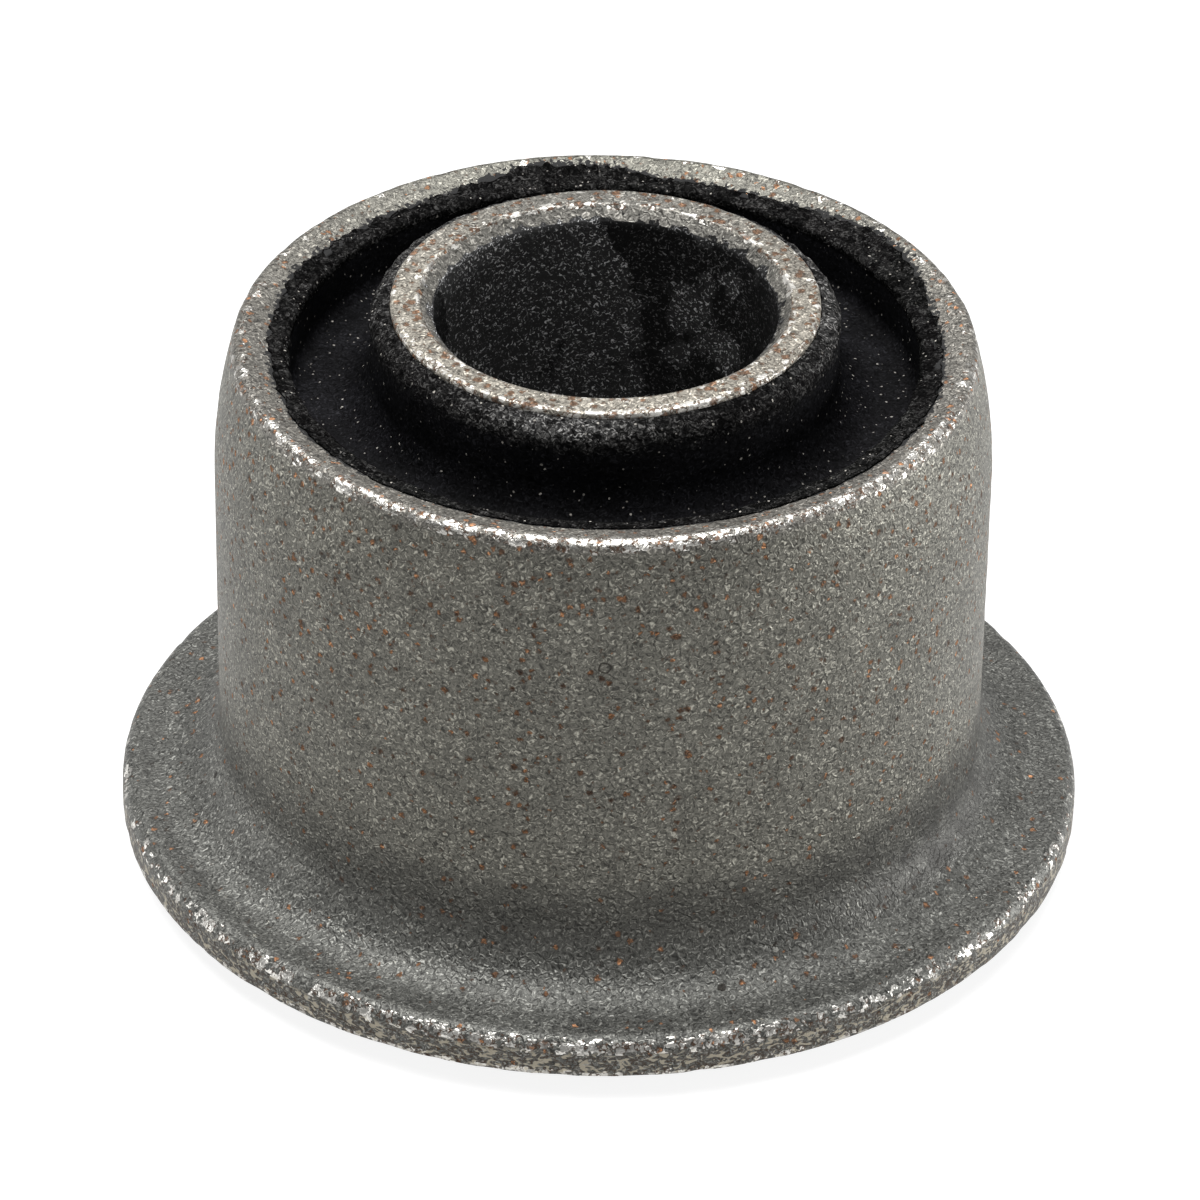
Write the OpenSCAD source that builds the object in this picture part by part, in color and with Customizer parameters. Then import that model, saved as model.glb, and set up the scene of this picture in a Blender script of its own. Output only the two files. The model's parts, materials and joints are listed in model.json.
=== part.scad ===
// Pedal bushing: a flanged rubber-to-metal bush.
// A pressed steel outer sleeve with a flange, a steel inner sleeve for the pedal's pivot pin,
// and a rubber body moulded and bonded between them. Millimetres, +Z up along the bush's axis.
// The origin is on the axis, at the lower end of the inner sleeve.

/* [Outer sleeve] */
// Outside diameter of the straight barrel, which presses into the pedal arm's eye
barrel_d = 36.5; // [35.5:0.5:40]
// Length from the flange's underside to the top of the rim
outer_len = 25.5; // [22:0.5:32]
// Thickness of the sheet, the same in the barrel and the flange
sheet = 2; // [1.6:0.1:2.4]
// Radius of the sweep between the barrel and the flange's upper face
bend_r = 3.2; // [2:0.1:4]
// Width of the flange beyond the sweep, its rounded edge included
flange_flat = 1.55; // [1.2:0.05:4]
// Rounding of the flange's upper edge
flange_edge_r = 0.8; // [0.2:0.05:0.8]
// Rounding of the flange's lower edge
flange_under_r = 0.2; // [0.1:0.05:0.5]

/* [Drawn-in mouth] */
// Radius of the curve that draws the upper end of the barrel inwards
mouth_r = 24; // [18:1:40]
// Lean of the wall at the rim, from upright
mouth_angle = 17; // [8:1:20]
// Rounding of the rim's outer edge
rim_edge_r = 0.5; // [0.2:0.05:0.7]

/* [Inner sleeve] */
// Outside diameter of the inner sleeve
tube_d = 20; // [18.5:0.5:21.5]
// Diameter of the bore for the pivot pin
bore_d = 16; // [10:0.5:16.5]
// Height of the inner sleeve's upper end above the rim
tube_proud = 2.2; // [1.4:0.1:4]
// Depth of the inner sleeve's lower end below the flange
tube_foot = 1.3; // [0:0.1:3]
// Chamfer at both mouths of the bore
bore_chamfer = 0.5; // [0.2:0.05:0.8]
// Rounding of the outer edge at both ends of the inner sleeve
tube_edge_r = 0.2; // [0.1:0.05:0.3]

/* [Rubber body] */
// Thickness of the rubber collar round the inner sleeve
collar_wall = 0.9; // [0.5:0.1:1.2]
// Length of bare sleeve past the end of each collar
collar_gap = 0.3; // [0.3:0.05:0.8]
// Thickness of the rubber lip inside the rim
lip_wall = 0.63; // [0.4:0.01:1]
// Depth of the upper lip below the rim's inner edge
lip_drop = 0.1; // [0.05:0.05:0.4]
// Rounding of the inner edge of each lip
lip_edge_r = 0.2; // [0.1:0.05:0.3]
// Depth of the upper groove below the top of the rim
groove_depth = 3.2; // [2.4:0.1:5]
// Height of the lower lip above the flange's underside
low_lip_h = 3; // [2.2:0.1:3.6]
// Height of the lower groove's floor above the flange's underside
low_floor_h = 6; // [5:0.1:8]
// Fillet between each groove's floor and the collar
collar_fillet = 2; // [1:0.1:2.6]
// Fillet between each groove's floor and the lip
lip_fillet = 0.6; // [0.3:0.1:1]

/* [Hidden] */
$fn = 180;

// Radii, from the axis outwards
bore_r = bore_d / 2;
tube_r = tube_d / 2;
collar_r = tube_r + collar_wall;
barrel_r = barrel_d / 2;
wall_r = barrel_r - sheet;
bend_x = barrel_r + bend_r;

// Heights, from the inner sleeve's lower end upwards
bend_z = tube_foot + sheet + bend_r;
rim_z = tube_foot + outer_len;
tube_len = rim_z + tube_proud;
low_lip_z = tube_foot + low_lip_h;
low_floor_z = tube_foot + low_floor_h;
floor_z = rim_z - groove_depth;

// Sizes that come from an angle are kept to a thousandth of a millimetre
function thousandth(x) = round(x * 1000) / 1000;

// The drawn-in mouth: its wall follows two arcs about one centre and ends square to the wall.
// The circle that rounds the rim's outer edge stands out of both faces by edge_cross, so that its arc crosses them.
edge_cross = 0.02;
edge_in = rim_edge_r - edge_cross;
mouth_inner_r = mouth_r - sheet;
mouth_x = barrel_r - mouth_r;
mouth_z = thousandth(rim_z - rim_edge_r - (mouth_r - edge_in) * sin(mouth_angle) + edge_in * cos(mouth_angle));
rim_edge_x = thousandth(mouth_x + (mouth_r - edge_in) * cos(mouth_angle) + edge_in * sin(mouth_angle));

// The upper lip, just inside the rim's inner edge
lip_r = thousandth(mouth_x + mouth_inner_r * cos(mouth_angle) - lip_wall);
lip_z = thousandth(mouth_z + mouth_inner_r * sin(mouth_angle) - lip_drop);

// Quarter of a disc, in the quadrant where x and y are positive
module quarter(r) {
    intersection() {
        circle(r);
        square(r);
    }
}

// Quarter of a disc, below the x axis
module low_quarter(r) {
    mirror([0, 1]) quarter(r);
}

// Strip of sheet whose outer end is rounded by r_top above and by r_low below
module sheet_end(w, h, r_top, r_low) {
    square([w - r_low, r_low]);
    translate([w - r_low, r_low]) low_quarter(r_low);
    translate([0, r_low]) square([w, h - r_top - r_low]);
    translate([0, h - r_top]) square([w - r_top, r_top]);
    translate([w - r_top, h - r_top]) quarter(r_top);
}

// Wall of the drawn-in mouth, from the top of the straight barrel to the rim
module mouth_section() {
    difference() {
        intersection() {
            translate([mouth_x, mouth_z]) circle(mouth_r);
            translate([0, mouth_z]) square([bend_x, mouth_r]);
            translate([mouth_x, mouth_z]) rotate(mouth_angle - 90) square(2 * mouth_r);
        }
        translate([mouth_x, mouth_z]) circle(mouth_inner_r);
        translate([rim_edge_x, rim_z - rim_edge_r]) difference() {
            rotate(mouth_angle) square(2 * rim_edge_r);
            circle(rim_edge_r);
        }
    }
}

// Cross-section of the outer sleeve: flange, sweep, straight barrel, drawn-in mouth and rim
module outer_section() {
    translate([bend_x, tube_foot]) sheet_end(flange_flat, sheet, flange_edge_r, flange_under_r);
    translate([bend_x, bend_z]) rotate(180) difference() {
        quarter(bend_r + sheet);
        circle(bend_r);
    }
    translate([wall_r, bend_z]) square([sheet, mouth_z - bend_z]);
    mouth_section();
}

// Room between the two sleeves, from the lower lip to the upper lip, that the rubber is moulded into
module throat_section() {
    difference() {
        translate([tube_r, low_lip_z]) square([bend_x - tube_r, bend_z - low_lip_z]);
        translate([bend_x, bend_z]) circle(bend_r + sheet);
    }
    translate([tube_r, bend_z]) square([wall_r - tube_r, mouth_z - bend_z]);
    intersection() {
        translate([tube_r, mouth_z]) square([bend_x - tube_r, lip_z - mouth_z]);
        translate([mouth_x, mouth_z]) circle(mouth_inner_r);
    }
}

// Groove between collar and lip, from its floor at y = 0 up to the lip's top at y = h
module groove_section(h) {
    floor_start = collar_r + collar_fillet;
    floor_end = lip_r - lip_fillet;
    translate([floor_start, 0]) square([floor_end - floor_start, h]);
    translate([floor_start, collar_fillet]) rotate(180) quarter(collar_fillet);
    translate([collar_r, collar_fillet]) square([collar_fillet, h - collar_fillet]);
    translate([floor_end, lip_fillet]) rotate(-90) quarter(lip_fillet);
    translate([floor_end, lip_fillet]) square([lip_fillet, h - lip_fillet]);
    translate([lip_r, h - lip_edge_r]) difference() {
        square(lip_edge_r);
        translate([lip_edge_r, 0]) circle(lip_edge_r);
    }
}

// Free end of a collar, h tall, with its outer edge rounded down to the sleeve
module collar_end(h) {
    translate([tube_r, 0]) square([collar_wall, h - collar_wall]);
    translate([tube_r, h - collar_wall]) quarter(collar_wall);
}

module outer_sleeve() {
    color("gray") rotate_extrude() outer_section();
}

module rubber_body() {
    color([0.08, 0.08, 0.08]) rotate_extrude() {
        difference() {
            throat_section();
            translate([0, floor_z]) groove_section(lip_z - floor_z);
            translate([0, low_floor_z]) mirror([0, 1]) groove_section(low_floor_z - low_lip_z);
        }
        translate([0, lip_z]) collar_end(tube_len - collar_gap - lip_z);
        translate([0, low_lip_z]) mirror([0, 1]) collar_end(low_lip_z - collar_gap);
    }
}

module inner_sleeve() {
    edge_x = tube_r - tube_edge_r;
    color("silver") rotate_extrude() {
        polygon([
            [bore_r, bore_chamfer], [bore_r + bore_chamfer, 0], [edge_x, 0],
            [edge_x, tube_len], [bore_r + bore_chamfer, tube_len], [bore_r, tube_len - bore_chamfer]
        ]);
        translate([edge_x, tube_edge_r]) square([tube_edge_r, tube_len - 2 * tube_edge_r]);
        translate([edge_x, tube_len - tube_edge_r]) quarter(tube_edge_r);
        translate([edge_x, tube_edge_r]) low_quarter(tube_edge_r);
    }
}

outer_sleeve();
rubber_body();
inner_sleeve();
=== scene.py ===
import json
import math

import bpy
import numpy as np
from mathutils import Matrix, Vector


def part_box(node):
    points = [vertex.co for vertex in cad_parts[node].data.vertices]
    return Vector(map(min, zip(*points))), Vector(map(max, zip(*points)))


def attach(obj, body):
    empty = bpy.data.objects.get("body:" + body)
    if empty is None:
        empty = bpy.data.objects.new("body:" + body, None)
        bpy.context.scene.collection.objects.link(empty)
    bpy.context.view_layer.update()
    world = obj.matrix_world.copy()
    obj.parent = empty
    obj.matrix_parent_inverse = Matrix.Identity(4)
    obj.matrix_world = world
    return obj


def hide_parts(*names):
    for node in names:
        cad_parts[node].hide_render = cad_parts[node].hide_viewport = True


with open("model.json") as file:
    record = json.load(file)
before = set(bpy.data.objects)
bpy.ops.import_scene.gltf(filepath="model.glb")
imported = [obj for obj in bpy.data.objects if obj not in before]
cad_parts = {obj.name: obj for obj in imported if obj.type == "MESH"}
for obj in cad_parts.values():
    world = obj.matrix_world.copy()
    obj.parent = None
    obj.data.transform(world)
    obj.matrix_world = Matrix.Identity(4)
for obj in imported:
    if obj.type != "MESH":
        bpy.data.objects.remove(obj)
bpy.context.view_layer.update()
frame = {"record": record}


# Outer sleeve.
# A deep-drawn steel pressing: a straight barrel with a flange at its foot and a mouth drawn in at its top.
# It is grit-blasted all over for the rubber to bond to, left bare, and has begun to rust in specks.

MM = 0.001  # the sizes below are in millimetres, and the meshes in metres

mounts = {mount["name"]: mount["dims"] for mount in frame["record"]["mounts"]}
sleeve_low, sleeve_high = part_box("outer_sleeve")
barrel_r = mounts["barrel"]["r_mm"]
flange_r = sleeve_high.x / MM
flange_z = sleeve_low.z / MM
rim_z = sleeve_high.z / MM
sheet = 2.0
bend_r = 3.2
flange_edge_r = 0.8
flange_under_r = 0.2
mouth_r = 24.0
mouth_angle = 17.0
rim_edge_r = 0.5

wall_r = barrel_r - sheet
flange_top = flange_z + sheet
bend_x = barrel_r + bend_r
bend_z = flange_top + bend_r
mouth_in_r = mouth_r - sheet
mouth_x = barrel_r - mouth_r
lean_cos = math.cos(math.radians(mouth_angle))
lean_sin = math.sin(math.radians(mouth_angle))
mouth_z = rim_z - rim_edge_r - (mouth_r - rim_edge_r) * lean_sin + rim_edge_r * lean_cos
wall_angle = mouth_angle - math.degrees(math.asin(rim_edge_r / mouth_r))


def line(start, end, step):
    """Points of a straight stretch of a section, without its end."""
    count = max(1, round(math.dist(start, end) / step))
    return [tuple(np.add(start, np.subtract(end, start) * k / count)) for k in range(count)]


def arc(centre, r, first, last, step):
    """Points of a round stretch of a section, from one angle to another in degrees, without its end."""
    count = max(2, round(abs(math.radians(last - first)) * r / step))
    angles = np.radians(first + (last - first) * np.arange(count) / count)
    return [(centre[0] + r * math.cos(a), centre[1] + r * math.sin(a)) for a in angles]


def on_mouth(along, out):
    """Place of a point given along the rim's end face, from the mouth's centre, and out of that face."""
    return (mouth_x + along * lean_cos - out * lean_sin, mouth_z + along * lean_sin + out * lean_cos)


def lumps(points, cell, seed):
    """Smooth random values from -1 to 1 over points in space, with lumps of about one cell."""
    table = np.random.default_rng(seed).uniform(-1, 1, (32, 32, 32))
    whole = np.floor(points / cell).astype(int)
    part = points / cell - whole
    part = part * part * (3 - 2 * part)
    value = 0
    for corner in np.ndindex(2, 2, 2):
        share = np.prod(np.where(corner, part, 1 - part), axis=-1)
        i, j, k = np.moveaxis((whole + corner) % 32, -1, 0)
        value = value + share * table[i, j, k]
    return value


def spun(section, turns):
    """A section repeated at each step of a turn."""
    return np.repeat(np.array(section)[:, None], turns, axis=1)


def in_space(sections):
    """The points of sections set round the axis."""
    turn = np.linspace(0, 2 * np.pi, sections.shape[1], endpoint=False)
    r, z = sections[..., 0], sections[..., 1]
    return np.stack([r * np.cos(turn), r * np.sin(turn), z], axis=-1)


def raised(sections, height):
    """Sections with each point moved out of the material by a height."""
    along = np.roll(sections, -1, axis=0) - np.roll(sections, 1, axis=0)
    out = np.stack([-along[..., 1], along[..., 0]], axis=-1)
    return sections + out / np.linalg.norm(out, axis=-1, keepdims=True) * height[..., None]


def near(section, places, reach):
    """How close each point of a section is to the nearest of some places: 1 there, 0 from the reach on."""
    away = np.linalg.norm(np.array(section)[:, None] - np.array(places)[None], axis=-1).min(axis=1)
    return np.clip(1 - away / reach, 0, 1)[:, None]


def round_the_axis(table, turns):
    """Values of a table by angle, at each step of a turn."""
    return np.interp(np.arange(turns) * 360 / turns, list(table), list(table.values()))


def lathe(name, sections, masks):
    """A closed mesh through sections set round the axis, with a value on each point for each mask."""
    rows, turns = sections.shape[:2]
    index = np.arange(rows * turns).reshape(rows, turns)
    up, on = np.roll(index, -1, axis=0), np.roll(index, -1, axis=1)
    quads = np.stack([index, up, np.roll(up, -1, axis=1), on], axis=-1).reshape(-1, 4)
    mesh = bpy.data.meshes.new(name)
    mesh.from_pydata((in_space(sections).reshape(-1, 3) * MM).tolist(), [], quads.tolist())
    mesh.polygons.foreach_set("use_smooth", np.ones(len(quads), bool))
    for mask, values in masks.items():
        layer = mesh.attributes.new(mask, "FLOAT", "POINT")
        layer.data.foreach_set("value", np.broadcast_to(values, (rows, turns)).astype(np.float32).ravel())
    piece = bpy.data.objects.new(name, mesh)
    bpy.context.scene.collection.objects.link(piece)
    return piece


# steps of the mesh along a section: on edges, on cut faces, on plain faces and where nothing shows
fine, face_step, coarse, hidden = 0.06, 0.15, 0.24, 4.0
rim_in, rim_flat = on_mouth(mouth_in_r, 0), on_mouth(mouth_r - rim_edge_r, 0)
rim_face = line(rim_in, rim_flat, face_step)
rim_centre = on_mouth(mouth_r - rim_edge_r, -rim_edge_r)
rim_edge = arc(rim_centre, rim_edge_r, 90 + mouth_angle, wall_angle, fine)
bend = arc((bend_x, bend_z), bend_r, 180, 270, coarse)
edge_x, edge_z = flange_r - flange_edge_r, flange_top - flange_edge_r
flange_flat = line((bend_x, flange_top), (edge_x, flange_top), coarse)
flange_edge = arc((edge_x, edge_z), flange_edge_r, 90, 0, fine)
flange_side = line((flange_r, edge_z), (flange_r, flange_z + flange_under_r), face_step)
under_edge = arc((flange_r - flange_under_r, flange_z + flange_under_r), flange_under_r, 0, -90, fine)
sleeve_section = (
    rim_face + rim_edge
    + arc((mouth_x, mouth_z), mouth_r, wall_angle, 0, coarse)
    + line((barrel_r, mouth_z), (barrel_r, bend_z), coarse)
    + bend + flange_flat + flange_edge + flange_side + under_edge
    + line((flange_r - flange_under_r, flange_z), (bend_x, flange_z), coarse)
    + arc((bend_x, bend_z), bend_r + sheet, 270, 180, 2 * coarse)
    + line((wall_r, bend_z), (wall_r, mouth_z), hidden)
    + arc((mouth_x, mouth_z), mouth_in_r, 0, mouth_angle, hidden)
)

# how far the rubber's torn film reaches up the rim's end face, and how ragged its edge is,
# by the angle round the axis: 0 is right, 90 back, 180 left and 270 front
film_reach = {
    0: 0.55, 12: 0.55, 22: 0.85, 30: 1.3, 38: 1.35, 47: 0.85, 58: 0.5, 70: 0.45, 82: 0.55, 90: 1.1,
    102: 1.4, 112: 0.85, 122: 0.45, 140: 0.45, 152: 0.7, 162: 0.7, 172: 0.42, 200: 0.4, 212: 0.6,
    222: 0.5, 240: 0.32, 270: 0.28, 300: 0.4, 320: 0.65, 340: 0.7, 360: 0.55,
}
film_ragged = {
    0: 0.2, 30: 0.3, 60: 0.22, 100: 0.3, 150: 0.22, 200: 0.2, 240: 0.1, 270: 0.06, 300: 0.1, 360: 0.2,
}
# how far the edges have been rubbed bright, with painted highlights strongest at the front, and how pale the
# cut faces are, with a painted sheen that leaves the back darker, by the same angle
rim_wear_and_highlight = {0: 0.3, 90: 0.1, 180: 0.22, 225: 0.75, 250: 1.0, 290: 1.0, 315: 0.75, 360: 0.3}
flange_wear_and_highlight = {0: 0.15, 90: 0.0, 180: 0.2, 215: 0.45, 245: 0.85, 270: 1.0, 290: 0.75, 320: 0.45, 360: 0.15}
cut_face_sheen_by_angle = {0: 1.0, 50: 0.4, 75: 0.0, 105: 0.0, 130: 0.3, 180: 1.0, 360: 1.0}
# how much painted shade darkens the steel above the bend, in it and on the flange's flat
shade_above_bend = {0: 0.45, 90: 0.5, 180: 0.25, 215: 0.3, 240: 0.6, 295: 0.65, 325: 1.0, 360: 0.45}
shade_in_bend = {0: 0.5, 90: 0.3, 180: 0.1, 290: 0.0, 308: 0.7, 322: 1.3, 345: 1.1, 360: 0.5}
shade_on_flat = {0: 0.5, 90: 0.5, 180: 0.6, 210: 0.5, 235: 0.1, 300: 0.0, 330: 0.3, 360: 0.5}

sleeve_turns = 500
sleeve_sections = spun(sleeve_section, sleeve_turns)
places = in_space(sleeve_sections)
blows = 0.014 * lumps(places, 0.8, 1) + 0.008 * lumps(places, 0.4, 2) - 0.022
rubbed_rim = near(sleeve_section, rim_edge[2:10], 0.35)
rubbed_flange = near(sleeve_section, flange_edge[10:17], 0.3)
rubbed_under = near(sleeve_section, under_edge, 0.25)
edges = np.maximum(np.maximum(rubbed_rim, rubbed_flange), rubbed_under)
chips = edges * np.clip(lumps(places, 0.8, 3), 0, 1)
# painted highlights: the rubbed edges are brightest at the front, where the light catches them
rim_wear_highlight = rubbed_rim * round_the_axis(rim_wear_and_highlight, sleeve_turns)
flange_wear_highlight = np.maximum(rubbed_flange, rubbed_under) * round_the_axis(flange_wear_and_highlight, sleeve_turns)
up_face = np.linalg.norm(np.array(sleeve_section) - rim_in, axis=-1)[:, None]
film_edge = (round_the_axis(film_reach, sleeve_turns) - up_face) / round_the_axis(film_ragged, sleeve_turns)
on_face = near(sleeve_section, rim_face + rim_edge, 0.4)
above_bend = line((barrel_r, bend_z + 1.5), (barrel_r, bend_z), coarse) + bend[:4]
# painted shade in and around the bend, by the angle round the axis
painted_shade = [
    near(sleeve_section, zone, reach) * round_the_axis(table, sleeve_turns)
    for zone, reach, table in (
        (above_bend, 0.9, shade_above_bend), (bend[2:10], 0.8, shade_in_bend), (flange_flat, 0.6, shade_on_flat),
    )
]
outer_piece = lathe("OuterSleeve", raised(sleeve_sections, blows - 0.06 * chips), {
    # painted sheen: the cut faces are paler at the front and sides and darker at the back
    "cut_face_and_sheen": on_face * round_the_axis(cut_face_sheen_by_angle, sleeve_turns),
    "worn_edge_and_highlight": np.maximum(rim_wear_highlight, flange_wear_highlight),
    "film_edge": np.where(on_face > 0, np.clip(film_edge, -3, 3), -3),
    "painted_shade": np.maximum.reduce(painted_shade),
    "sheared": near(sleeve_section, flange_side, 0.3),
})


def add(tree, kind, inputs=None, **settings):
    """A new node with its settings and inputs; an input is a value or another node's output."""
    made = tree.nodes.new(kind)
    for name, value in settings.items():
        setattr(made, name, value)
    for name, value in (inputs or {}).items():
        if isinstance(value, bpy.types.NodeSocket):
            tree.links.new(value, made.inputs[name])
        else:
            made.inputs[name].default_value = value
    return made


def calc(tree, operation, first, second=0.5, third=0.5):
    """Output of a Math node."""
    return add(tree, "ShaderNodeMath", {0: first, 1: second, 2: third}, operation=operation).outputs[0]


def ramp(tree, value, low, high, to_low=0.0, to_high=1.0):
    """Output of a Map Range node, smooth and held at both ends."""
    inputs = {"Value": value, "From Min": low, "From Max": high, "To Min": to_low, "To Max": to_high}
    return add(tree, "ShaderNodeMapRange", inputs, interpolation_type="SMOOTHSTEP").outputs["Result"]


def blend(tree, share, first, second):
    """Output of a colour mix."""
    return add(tree, "ShaderNodeMix", {0: share, 6: first, 7: second}, data_type="RGBA").outputs[2]


def laid(tree, colour, over, mask, amount):
    """A colour with another laid over it, where a mask says and by an amount."""
    return blend(tree, calc(tree, "MULTIPLY", mask, amount), colour, over)


def noise(tree, place, scale, detail=2.0, output="Fac"):
    """Output of a Noise Texture."""
    inputs = {"Vector": place, "Scale": scale, "Detail": detail}
    return add(tree, "ShaderNodeTexNoise", inputs).outputs[output]


def vector(tree, operation, first, **inputs):
    """Output of a Vector Math node."""
    second = {1: inputs["by"]} if "by" in inputs else {"Scale": inputs["scale"]}
    return add(tree, "ShaderNodeVectorMath", {0: first, **second}, operation=operation).outputs[0]


def millimetres(tree):
    """The object's own coordinates, in millimetres."""
    return vector(tree, "SCALE", tree.nodes.new("ShaderNodeTexCoord").outputs["Object"], scale=1 / MM)


def wandered(tree, place, scale, reach):
    """Places moved about by a noise, so that what is drawn there is curled or ragged."""
    shift = vector(tree, "SUBTRACT", noise(tree, place, scale, 0.0, output="Color"), by=(0.5, 0.5, 0.5))
    return vector(tree, "ADD", place, by=vector(tree, "SCALE", shift, scale=reach))


def grey(value, warmth=0.0):
    """A grey with a little more red and less blue."""
    return (value * (1 + warmth), value, value * (1 - 1.6 * warmth), 1)


def group(name, inputs, outputs):
    """An empty shader node group with named sockets; returns the tree, its inputs and its end node."""
    tree = bpy.data.node_groups.new(name, "ShaderNodeTree")
    for socket, default in inputs.items():
        kind = "NodeSocketFloat" if isinstance(default, float) else "NodeSocketColor"
        tree.interface.new_socket(socket, in_out="INPUT", socket_type=kind).default_value = default
    for socket in outputs:
        kind = "NodeSocketColor" if socket == "Colour" else "NodeSocketFloat"
        tree.interface.new_socket(socket, in_out="OUTPUT", socket_type=kind)
    return tree, tree.nodes.new("NodeGroupInput").outputs, tree.nodes.new("NodeGroupOutput")


def wire(tree, end, values):
    """Links outputs to the sockets of a shader or of a group's end node."""
    for socket, value in values.items():
        tree.links.new(value, end.inputs[socket])


def use(tree, name, **inputs):
    """Places a node group, with its own values; returns its outputs."""
    return add(tree, "ShaderNodeGroup", inputs, node_tree=bpy.data.node_groups[name]).outputs


# Blast texture: the fine curled ridges that the grit throws up, each with a painted lit side and a painted
# shaded side, with painted highlights on their crests, over a patchy grain.
tree, given, end = group("BlastTexture", {"Grain": 4.0}, ["GrainAndPaintedLight", "Height"])
place = vector(tree, "SCALE", millimetres(tree), scale=given["Grain"])
place = wandered(tree, place, 1.0, 2.0)
height = noise(tree, place, 1.0, 1.0)
beside = noise(tree, vector(tree, "ADD", place, by=(0.2, 0.12, 0.25)), 1.0, 1.0)
upper = calc(tree, "SUBTRACT", height, beside)
aside = vector(tree, "ADD", place, by=(31.0, 17.0, 53.0))
beside = noise(tree, vector(tree, "ADD", aside, by=(0.12, -0.16, -0.2)), 1.3, 1.0)
lower = calc(tree, "SUBTRACT", noise(tree, aside, 1.3, 1.0), beside)
# painted light and shade: each ridge lighter on one side and darker on the other
painted_relief = calc(tree, "MULTIPLY", calc(tree, "ADD", upper, lower), 2.6)
cloud = calc(tree, "SUBTRACT", noise(tree, millimetres(tree), 0.4, 3.0), 0.5)
# painted highlights on the crests of the ridges
crest = ramp(tree, calc(tree, "MULTIPLY_ADD", cloud, 0.5, painted_relief), 0.32, 0.85)
grain_and_painted_light = calc(tree, "MULTIPLY_ADD", painted_relief, 0.92, 0.96)
grain_and_painted_light = calc(tree, "MULTIPLY_ADD", cloud, 0.6, grain_and_painted_light)
grain_and_painted_light = calc(tree, "MULTIPLY_ADD", crest, 1.3, grain_and_painted_light)
wire(tree, end, {"GrainAndPaintedLight": calc(tree, "MAXIMUM", grain_and_painted_light, 0.3), "Height": height})

# Specks: small separate spots, each of its own size, more or less ragged, and the thin ring round each.
speck_inputs = {"Spacing": 1.0, "Share": 0.5, "Size": 0.2, "Ragged": 0.5}
tree, given, end = group("Specks", speck_inputs, ["Mask", "Ring", "Mix"])
place = wandered(tree, millimetres(tree), 6.0, given["Ragged"])
place = vector(tree, "SCALE", place, scale=calc(tree, "DIVIDE", 1.0, given["Spacing"]))
cell = add(tree, "ShaderNodeTexVoronoi", {"Vector": place, "Scale": 1.0}, feature="F1")
draw = add(tree, "ShaderNodeSeparateColor", {"Color": cell.outputs["Color"]}).outputs
size = calc(tree, "MULTIPLY", given["Size"], calc(tree, "ADD", draw[1], 0.3))
away = calc(tree, "SUBTRACT", calc(tree, "MULTIPLY", cell.outputs["Distance"], given["Spacing"]), size)
kept = calc(tree, "LESS_THAN", draw[0], given["Share"])
mask = calc(tree, "MULTIPLY", ramp(tree, away, -0.04, 0.0, 1.0, 0.0), kept)
ring = calc(tree, "MULTIPLY", ramp(tree, calc(tree, "ABSOLUTE", away), 0.01, 0.05, 1.0, 0.0), kept)
wire(tree, end, {"Mask": mask, "Ring": ring, "Mix": draw[2]})

# Bare steel: blasted grey with the painted light and shade of its grain, paler where it was cut and where a
# sheen is painted on the cut faces, bright where it is rubbed and where highlights are painted on the edges,
# with pits, glints and rust.
blast_grain = 4.2
small_pit, glint = (0.018, 0.013, 0.009, 1), (0.55, 0.53, 0.46, 1)
rubbed_dull, rubbed_bright_and_highlight = (0.33, 0.32, 0.3, 1), (0.85, 0.83, 0.78, 1)
rubbed_ring = (0.075, 0.034, 0.015, 1)
rust_dark, rust_ring = (0.07, 0.034, 0.017, 1), (0.045, 0.024, 0.013, 1)
steel_inputs = {
    "Blasted": grey(0.13), "Cut": grey(0.2), "Rust": rust_dark,
    "Rusting": 1.0, "RustSize": 0.15, "CutFace": 0.0, "WornEdge": 0.0,
}
tree, given, end = group("BareSteel", steel_inputs, ["Colour", "Metal", "Rough", "Height"])
blast = use(tree, "BlastTexture", Grain=blast_grain)
rust = use(tree, "Specks", Spacing=0.48, Share=given["Rusting"], Size=given["RustSize"], Ragged=0.22)
pits = use(tree, "Specks", Spacing=1.3, Share=0.5, Size=0.13, Ragged=0.5)
glints = use(tree, "Specks", Spacing=0.5, Share=0.5, Size=0.07, Ragged=0.4)
wear_and_highlight = use(tree, "Specks", Spacing=0.34, Share=given["WornEdge"], Size=0.27, Ragged=0.3)
colour = blend(tree, given["CutFace"], given["Blasted"], given["Cut"])
colour = vector(tree, "SCALE", colour, scale=blast["GrainAndPaintedLight"])
colour = laid(tree, colour, small_pit, pits["Mask"], 0.85)
colour = laid(tree, colour, glint, glints["Mask"], 0.7)
colour = laid(tree, colour, rubbed_ring, wear_and_highlight["Ring"], 0.8)
# rubbed patches on the edges, partly real wear and partly painted highlights
colour = laid(tree, colour, blend(tree, wear_and_highlight["Mix"], rubbed_dull, rubbed_bright_and_highlight), wear_and_highlight["Mask"], 0.9)
colour = laid(tree, colour, rust_ring, rust["Ring"], 0.5)
brown = blend(tree, rust["Mix"], rust_dark, given["Rust"])
brown = vector(tree, "SCALE", brown, scale=blast["GrainAndPaintedLight"])
colour = laid(tree, colour, brown, rust["Mask"], 0.85)
metal = calc(tree, "MULTIPLY_ADD", rust["Mask"], -0.6, ramp(tree, wear_and_highlight["Mask"], 0.0, 1.0, 0.6, 0.9))
rough = calc(tree, "MULTIPLY_ADD", rust["Mask"], 0.4, ramp(tree, wear_and_highlight["Mask"], 0.0, 1.0, 0.5, 0.36))
wire(tree, end, {"Colour": colour, "Metal": metal, "Rough": rough, "Height": blast["Height"]})


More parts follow.
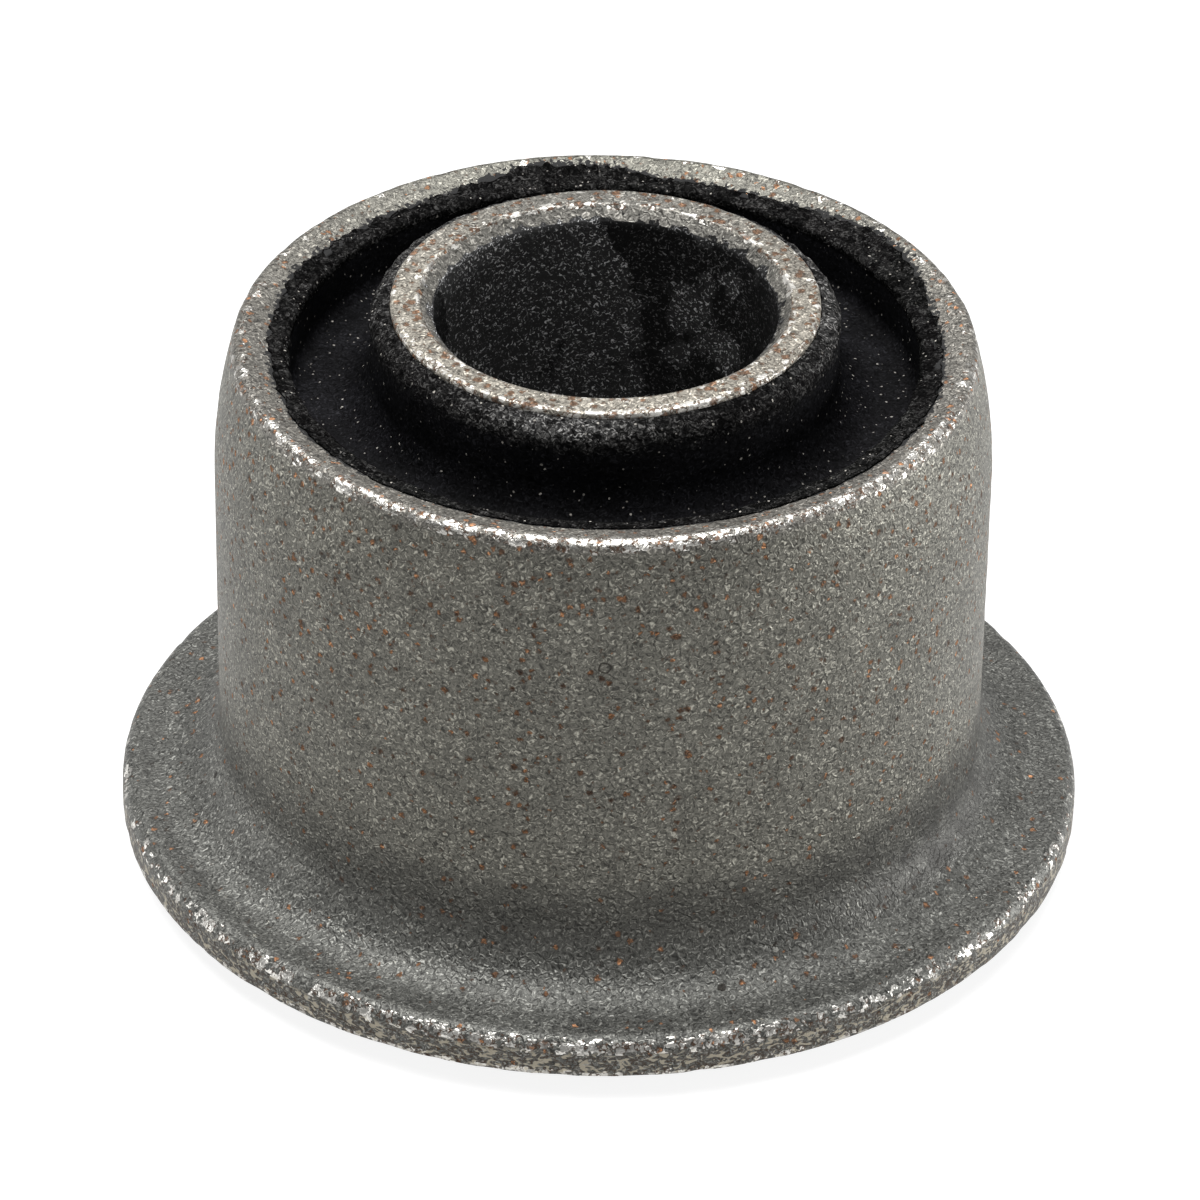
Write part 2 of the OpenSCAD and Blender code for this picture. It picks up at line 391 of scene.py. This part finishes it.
def attribute(tree, name):
    """A value that the mesh carries on its points."""
    return add(tree, "ShaderNodeAttribute", attribute_name=name).outputs["Fac"]


def relief(tree, height, strength, depth):
    """Normals for a height, with a depth in millimetres."""
    inputs = {"Height": height, "Strength": strength, "Distance": depth * MM}
    return add(tree, "ShaderNodeBump", inputs).outputs["Normal"]


def principled(name):
    """A new material; returns it with its tree and its shader."""
    material = bpy.data.materials.new(name)
    material.use_nodes = True
    return material, material.node_tree, material.node_tree.nodes["Principled BSDF"]


flange_grey, barrel_grey = (0.115, 0.115, 0.106, 1), (0.136, 0.132, 0.113, 1)
rim_grey = (0.158, 0.15, 0.134, 1)
barrel_rust = (0.33, 0.147, 0.06, 1)
shade_black = (0.037, 0.036, 0.033, 1)
flake_buff, crack_brown = (0.4, 0.36, 0.28, 1), (0.05, 0.03, 0.017, 1)
deep_pit_black = (0.014, 0.011, 0.008, 1)
film_black = grey(0.008)
# centre, inner radius and outer radius of the deep pits; one with an inner radius above 0 is a ring
deep_pits = (
    ((5.79, -19.09, 3.68), -0.2, 0.2),
    ((-18.28, -4.3, 4.74), -0.2, 0.16),
    ((0.2, -18.23, 20.76), 0.2, 0.3),
)

material, tree, shader = principled("BlastedSteel")
place = millimetres(tree)
level = add(tree, "ShaderNodeSeparateXYZ", {0: place}).outputs["Z"]
steel = use(
    tree, "BareSteel", Cut=rim_grey, Rust=barrel_rust, RustSize=0.125,
    Blasted=blend(tree, ramp(tree, level, 3.5, 10.0), flange_grey, barrel_grey),
    Rusting=ramp(tree, level, 2.0, 25.0, 0.3, 1.0),
    CutFace=attribute(tree, "cut_face_and_sheen"), WornEdge=attribute(tree, "worn_edge_and_highlight"),
)
shade_patches = ramp(tree, noise(tree, place, 0.8, 3.0), 0.3, 0.7, 0.4, 0.8)
# painted shade: darker patches above, in and beside the bend
colour = laid(tree, steel["Colour"], shade_black, attribute(tree, "painted_shade"), shade_patches)
streaks = wandered(tree, vector(tree, "MULTIPLY", place, by=(2.2, 2.2, 4.0)), 1.0, 1.6)
seam = noise(tree, streaks, 1.0, 2.0)
crack = calc(tree, "ABSOLUTE", calc(tree, "SUBTRACT", seam, 0.46))
sheared = calc(tree, "MULTIPLY", attribute(tree, "sheared"), 0.85)
colour = laid(tree, colour, flake_buff, ramp(tree, seam, 0.54, 0.6), sheared)
colour = laid(tree, colour, crack_brown, ramp(tree, crack, 0.0, 0.06, 1.0, 0.0), sheared)
fray = calc(tree, "SUBTRACT", noise(tree, place, 3.6, 4.0), 0.5)
for centre, inner, outer in deep_pits:
    away = add(tree, "ShaderNodeVectorMath", {0: place, 1: centre}, operation="DISTANCE").outputs["Value"]
    away = calc(tree, "MULTIPLY_ADD", fray, 0.2, away)
    within = ramp(tree, away, outer - 0.04, outer + 0.04, 0.9, 0.0)
    colour = laid(tree, colour, deep_pit_black, ramp(tree, away, inner - 0.05, inner + 0.05), within)
film = ramp(tree, calc(tree, "MULTIPLY_ADD", fray, 6.5, attribute(tree, "film_edge")), -0.1, 0.1)
shader.inputs["Specular Tint"].default_value = grey(0.8)
shader.inputs["Specular IOR Level"].default_value = 0.5
wire(tree, shader, {
    "Base Color": blend(tree, film, colour, film_black),
    "Metallic": calc(tree, "MULTIPLY", steel["Metal"], calc(tree, "SUBTRACT", 1.0, film)),
    "Roughness": calc(tree, "MULTIPLY_ADD", film, 0.3, steel["Rough"]),
    "Normal": relief(tree, steel["Height"], 1.0, 0.06),
})
outer_piece.data.materials.append(material)
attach(outer_piece, "root")
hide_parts("outer_sleeve")


# Inner sleeve.
# A cut length of steel tube for the pivot pin, chamfered at both mouths of its bore and faced at both ends.
# Its bore still has the black bonding film from the mould, ragged where the film stops at the chamfer.

tube_low, tube_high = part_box("inner_sleeve")
tube_r = tube_high.x / MM
tube_len = tube_high.z / MM
bore_r = mounts["bore"]["r_mm"]
bore_chamfer = 0.65
tube_edge_r = 0.2

edge_x, chamfer_x = tube_r - tube_edge_r, bore_r + bore_chamfer
top_face = line((chamfer_x, tube_len), (edge_x, tube_len), 0.1)
top_edge = arc((edge_x, tube_len - tube_edge_r), tube_edge_r, 90, 0, 0.05)
low_edge = arc((edge_x, tube_edge_r), tube_edge_r, 0, -90, 0.05)
low_face = line((edge_x, 0), (chamfer_x, 0), 0.2)
bore_wall = line((bore_r, bore_chamfer), (bore_r, tube_len - bore_chamfer), 0.3)
top_chamfer = line((bore_r, tube_len - bore_chamfer), (chamfer_x, tube_len), 0.07)
tube_section = (
    top_face + top_edge
    + line((tube_r, tube_len - tube_edge_r), (tube_r, tube_edge_r), hidden)
    + low_edge + low_face
    + line((chamfer_x, 0), (bore_r, bore_chamfer), 0.1)
    + bore_wall + top_chamfer
)

tube_turns = 480
tube_sections = spun(tube_section, tube_turns)
places = in_space(tube_sections)
blows = 0.01 * lumps(places, 0.7, 4) + 0.006 * lumps(places, 0.35, 5) - 0.016
rubbed_ends = near(tube_section, top_edge + low_edge, 0.3)
rubbed_mouth = near(tube_section, [(chamfer_x, tube_len), (chamfer_x, 0)], 0.35)
chips = rubbed_ends * np.clip(lumps(places, 0.7, 6), 0, 1)
faced = near(tube_section, top_face + top_edge + low_face + low_edge, 0.25)
filmed = bore_wall + top_chamfer[:1]
inner_piece = lathe("InnerSleeve", raised(tube_sections, blows - 0.03 * chips), {
    # painted sheen: the faced ends are paler at the front and sides and darker at the back
    "cut_face_and_sheen": faced * round_the_axis(cut_face_sheen_by_angle, tube_turns),
    "worn_edge_and_highlight": np.maximum(rubbed_ends * round_the_axis(rim_wear_and_highlight, tube_turns), 0.6 * rubbed_mouth),
    "bore_film": near(tube_section, filmed, 0.9) + near(tube_section, filmed, 0.02),
})

tube_grey, faced_grey = (0.16, 0.154, 0.139, 1), (0.245, 0.228, 0.196, 1)
tube_rust = (0.16, 0.077, 0.036, 1)
bore_black, bore_fleck, bore_spark = grey(0.035), grey(0.7), grey(0.9)

material, tree, shader = principled("TubeSteel")
place = millimetres(tree)
steel = use(
    tree, "BareSteel", Blasted=tube_grey, Cut=faced_grey, Rust=tube_rust, RustSize=0.18,
    Rusting=ramp(tree, attribute(tree, "bore_film"), 0.0, 0.3, 1.0, 0.0),
    CutFace=attribute(tree, "cut_face_and_sheen"), WornEdge=attribute(tree, "worn_edge_and_highlight"),
)
ragged = calc(tree, "MULTIPLY_ADD", noise(tree, place, 1.5, 5.0), 2.4, attribute(tree, "bore_film"))
film = ramp(tree, ragged, 2.0, 2.08)
flecks = ramp(tree, use(tree, "BlastTexture", Grain=4.5)["GrainAndPaintedLight"], 0.9, 3.4)
film_colour = blend(tree, flecks, bore_black, bore_fleck)
sparks = use(tree, "Specks", Spacing=0.4, Share=0.6, Size=0.06, Ragged=0.2)
film_colour = laid(tree, film_colour, bore_spark, sparks["Mask"], sparks["Mix"])
across = add(tree, "ShaderNodeSeparateXYZ", {0: place}).outputs["X"]
# the film is darker in large blotches, more of them towards the right
dark_blotches = calc(tree, "ADD", noise(tree, place, 0.33, 5.0), ramp(tree, across, -3.0, 3.0, -0.14, 0.03))
film_colour = vector(tree, "SCALE", film_colour, scale=ramp(tree, dark_blotches, 0.48, 0.54, 1.0, 0.25))
shader.inputs["Specular Tint"].default_value = grey(0.8)
shader.inputs["Specular IOR Level"].default_value = 0.1
wire(tree, shader, {
    "Base Color": blend(tree, film, steel["Colour"], film_colour),
    "Metallic": calc(tree, "MULTIPLY", steel["Metal"], calc(tree, "SUBTRACT", 1.0, film)),
    "Roughness": ramp(tree, film, 0.0, 1.0, 0.5, 0.6),
    "Normal": relief(tree, steel["Height"], 0.6, 0.05),
})
inner_piece.data.materials.append(material)
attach(inner_piece, "root")
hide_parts("inner_sleeve")


# Rubber body.
# Black rubber moulded between the sleeves and bonded to both, with a groove round each end.
# Where the mould closed on the blasted steel it leaves a torn film up the inner sleeve and over the rim.

collar_wall, collar_gap = 0.9, 0.3
lip_wall, lip_drop, lip_edge_r = 0.63, 0.1, 0.2
groove_depth, low_lip_h, low_floor_h = 3.2, 3.0, 6.0
collar_fillet, lip_fillet = 2.0, 0.6
film_thick, film_rows = 0.05, 14

collar_r = tube_r + collar_wall
collar_top = tube_len - collar_gap
shoulder_z = collar_top - collar_wall
low_shoulder_z = collar_gap + collar_wall
lip_r, lip_z = rim_in[0] - lip_wall, rim_in[1] - lip_drop
floor_z = rim_z - groove_depth
floor_start, floor_end = collar_r + collar_fillet, lip_r - lip_fillet
low_lip_z, low_floor_z = flange_z + low_lip_h, flange_z + low_floor_h
flare_r = bend_r + sheet
flare_angle = 180 + math.degrees(math.asin((bend_z - low_lip_z) / flare_r))
flare = (bend_x + flare_r * math.cos(math.radians(flare_angle)), low_lip_z)

shoulder = arc((tube_r, shoulder_z), collar_wall, 90, 0, 0.09)
lip_edge = arc((lip_r + lip_edge_r, lip_z - lip_edge_r), lip_edge_r, 180, 90, 0.08)
lip_top = line((lip_r + lip_edge_r, lip_z), rim_in, 0.07)
groove = (
    shoulder
    + line((collar_r, shoulder_z), (collar_r, floor_z + collar_fillet), 0.13)
    + arc((floor_start, floor_z + collar_fillet), collar_fillet, 180, 270, 0.2)
    + line((floor_start, floor_z), (floor_end, floor_z), 0.25)
    + arc((floor_end, floor_z + lip_fillet), lip_fillet, 270, 360, 0.12)
    + line((lip_r, floor_z + lip_fillet), (lip_r, lip_z - lip_edge_r), 0.2)
    + lip_edge + lip_top
)
low_lip_edge = arc((lip_r + lip_edge_r, low_lip_z + lip_edge_r), lip_edge_r, 270, 180, 0.1)
low_shoulder = arc((tube_r, low_shoulder_z), collar_wall, 0, -90, 0.2)
bonded = (
    arc((mouth_x, mouth_z), mouth_in_r, mouth_angle, 0, hidden)
    + line((wall_r, mouth_z), (wall_r, bend_z), hidden)
    + arc((bend_x, bend_z), flare_r, 180, flare_angle, 0.5)
    + line(flare, (lip_r + lip_edge_r, low_lip_z), 0.4)
    + low_lip_edge
    + line((lip_r, low_lip_z + lip_edge_r), (lip_r, low_floor_z - lip_fillet), 0.6)
    + arc((floor_end, low_floor_z - lip_fillet), lip_fillet, 0, 90, 0.2)
    + line((floor_end, low_floor_z), (floor_start, low_floor_z), 0.4)
    + arc((floor_start, low_floor_z - collar_fillet), collar_fillet, 90, 180, 0.5)
    + line((collar_r, low_floor_z - collar_fillet), (collar_r, low_shoulder_z), 0.6)
    + low_shoulder
    + line((tube_r, collar_gap), (tube_r, collar_top), hidden)
)

# how far the mould tore the rubber, by the angle round the axis
tearing = {0: 1.0, 180: 1.0, 225: 0.85, 250: 0.55, 290: 0.55, 315: 0.85, 360: 1.0}
# how far the collar's torn skin has been scuffed grey, by the same angle, and the film on the rim
scuffing = {
    0: 0.6, 90: 0.5, 180: 0.35, 200: 0.16, 220: 0.14, 240: 0.4, 255: 0.9,
    270: 0.65, 285: 0.3, 300: 0.1, 320: 0.14, 340: 0.4, 360: 0.6,
}
film_scuffing = 0.13

rubber_turns = 640
rim_ring = in_space(spun([rim_flat], rubber_turns))[0]
teeth = 0.7 * lumps(rim_ring, 0.7, 7) + 0.7 * lumps(rim_ring, 0.3, 8)
reach = 1.1 * round_the_axis(film_ragged, rubber_turns) * (teeth - 0.6)
reach = np.maximum(round_the_axis(film_reach, rubber_turns) + reach, 0.1)
film = [on_mouth(mouth_in_r + share * reach, film_thick) for share in np.linspace(0.02, 1, film_rows)]
film += [on_mouth(mouth_in_r + reach + 0.02, -0.03), on_mouth(mouth_in_r + 0 * reach, -0.05)]
film = np.array(film).transpose(0, 2, 1)
rubber_sections = np.concatenate([spun(groove, rubber_turns), film, spun(bonded, rubber_turns)])

groove_torn = np.maximum(near(groove, shoulder[:10], 1.6), near(groove, lip_edge + lip_top, 0.3))
bonded_torn = np.maximum(near(bonded, low_shoulder, 0.5), near(bonded, low_lip_edge + [flare], 0.4))
film_torn = np.concatenate([np.ones(film_rows), np.zeros(2)])[:, None]
torn = np.concatenate([groove_torn, film_torn, bonded_torn])
crest = np.concatenate([near(groove, lip_top, 0.25), 0 * film_torn, 0 * bonded_torn])
places = in_space(rubber_sections)
shreds = 0.08 * lumps(places, 0.6, 9) + 0.06 * lumps(places, 0.3, 10)
shreds = torn * round_the_axis(tearing, rubber_turns) * shreds
on_collar = places[..., 2] > rim_z + 0.3
rubber_piece = lathe("RubberBody", raised(rubber_sections, shreds + 0.1 * crest), {
    "torn": torn,
    "scuffed": np.where(on_collar, round_the_axis(scuffing, rubber_turns), film_scuffing),
})

skin_black, bloom_black = (0.0047, 0.0047, 0.0052, 1), (0.0066, 0.0066, 0.0075, 1)
scuff_black, scuff_grey = grey(0.016), grey(0.27, 0.02)
dust_grey = grey(0.6, 0.06)

material, tree, shader = principled("MouldedRubber")
place = millimetres(tree)
frayed = calc(tree, "MULTIPLY_ADD", noise(tree, place, 1.6, 4.0), 0.9, attribute(tree, "torn"))
ragged = ramp(tree, frayed, 0.72, 1.35)
strokes = use(tree, "BlastTexture", Grain=blast_grain)
dust = use(tree, "Specks", Spacing=0.33, Share=0.9, Size=0.06, Ragged=0.1)
crumbs = use(tree, "Specks", Spacing=0.36, Share=1.0, Size=0.2, Ragged=0.5)
crumb_tone = ramp(tree, crumbs["Mix"], 0.0, 1.0, 0.25, 1.7)
crumb_tone = calc(tree, "MULTIPLY", attribute(tree, "scuffed"), crumb_tone)
scuffed = blend(tree, ramp(tree, strokes["GrainAndPaintedLight"], 0.5, 2.6), scuff_black, scuff_grey)
scuffed = vector(tree, "SCALE", scuffed, scale=crumb_tone)
skin = blend(tree, ramp(tree, noise(tree, place, 0.25), 0.4, 0.6), skin_black, bloom_black)
skin = vector(tree, "SCALE", skin, scale=strokes["GrainAndPaintedLight"])
colour = blend(tree, ragged, skin, scuffed)
colour = laid(tree, colour, dust_grey, dust["Mask"], calc(tree, "MULTIPLY", dust["Mix"], 0.65))
shader.inputs["Specular IOR Level"].default_value = 0.025
wire(tree, shader, {
    "Base Color": colour,
    "Roughness": ramp(tree, ragged, 0.0, 1.0, 0.5, 0.85),
    "Normal": relief(tree, calc(tree, "MULTIPLY", strokes["Height"], ragged), 0.8, 0.08),
})
rubber_piece.data.materials.append(material)
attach(rubber_piece, "root")
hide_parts("rubber_body")


# Stage: a plain white floor, soft lamps and the camera.
# The camera stands in front and above, a long way off, as in the photograph.

floor_mesh = bpy.data.meshes.new("Floor")
floor_mesh.from_pydata([(-2, -2, 0), (2, -2, 0), (2, 2, 0), (-2, 2, 0)], [], [(0, 1, 2, 3)])
floor = bpy.data.objects.new("Floor", floor_mesh)
bpy.context.scene.collection.objects.link(floor)
material = bpy.data.materials.new("WhiteFloor")
material.use_nodes = True
tree = material.node_tree
tree.nodes.clear()
rays = tree.nodes.new("ShaderNodeLightPath").outputs
seen = calc(tree, "MAXIMUM", rays["Is Glossy Ray"], rays["Is Transmission Ray"])
seen = calc(tree, "MAXIMUM", rays["Is Camera Ray"], seen)
paper = add(tree, "ShaderNodeBsdfDiffuse", {"Color": grey(0.25)})
glow = add(tree, "ShaderNodeEmission", {"Color": grey(1.0), "Strength": calc(tree, "MULTIPLY", seen, 0.87)})
both = add(tree, "ShaderNodeAddShader", {0: paper.outputs[0], 1: glow.outputs[0]})
add(tree, "ShaderNodeOutputMaterial", {"Surface": both.outputs[0]})
floor_mesh.materials.append(material)

world = bpy.data.worlds.new("Studio")
bpy.context.scene.world = world
world.use_nodes = True
world.node_tree.nodes["Background"].inputs["Color"].default_value = grey(1.0)
world.node_tree.nodes["Background"].inputs["Strength"].default_value = 0.22


def softbox(name, place, width, height, power):
    """An area lamp that faces the middle of the bush."""
    lamp = bpy.data.lights.new(name, "AREA")
    lamp.shape, lamp.size, lamp.size_y, lamp.energy = "RECTANGLE", width, height, power
    box = bpy.data.objects.new(name, lamp)
    box.location = place
    box.rotation_euler = (Vector((0, 0, 0.014)) - Vector(place)).to_track_quat("-Z", "Y").to_euler()
    bpy.context.scene.collection.objects.link(box)


softbox("SkyPanel", (-0.04, 0.07, 0.5), 0.5, 0.5, 5.6)
softbox("LeftPanel", (-0.42, 0.1, 0.05), 0.3, 0.1, 0.45)
softbox("RightPanel", (0.42, 0.05, 0.05), 0.3, 0.1, 1.35)

photo_side = 1200
photo_scale = 21.085  # pixels to a millimetre at the camera's target
camera_distance = 330.0
camera_elevation = math.radians(33.57)
camera_roll = math.radians(0.82)
aim = Vector((0, 0, 14.0))
aim_pixel = (601.3, 568.6)

back = Vector((0, -math.cos(camera_elevation), math.sin(camera_elevation)))
up = Vector((0, math.sin(camera_elevation), math.cos(camera_elevation)))
right = Vector((1, 0, 0))
place = aim + camera_distance * back
half = photo_side / 2
target = aim + (right * (half - aim_pixel[0]) - up * (half - aim_pixel[1])) / photo_scale
back = (place - target).normalized()
right = Vector((0, 0, 1)).cross(back).normalized()
up = back.cross(right)
lens = bpy.data.cameras.new("Camera")
lens.sensor_width = 36.0
lens.lens = lens.sensor_width * photo_scale * camera_distance / photo_side
lens.clip_start, lens.clip_end = 0.01, 10
camera = bpy.data.objects.new("Camera", lens)
turn = Matrix((right, up, back)).transposed().to_4x4() @ Matrix.Rotation(camera_roll, 4, "Z")
camera.matrix_world = Matrix.Translation(place * MM) @ turn
bpy.context.scene.collection.objects.link(camera)
bpy.context.scene.camera = camera
bpy.context.scene.view_settings.view_transform = "Standard"
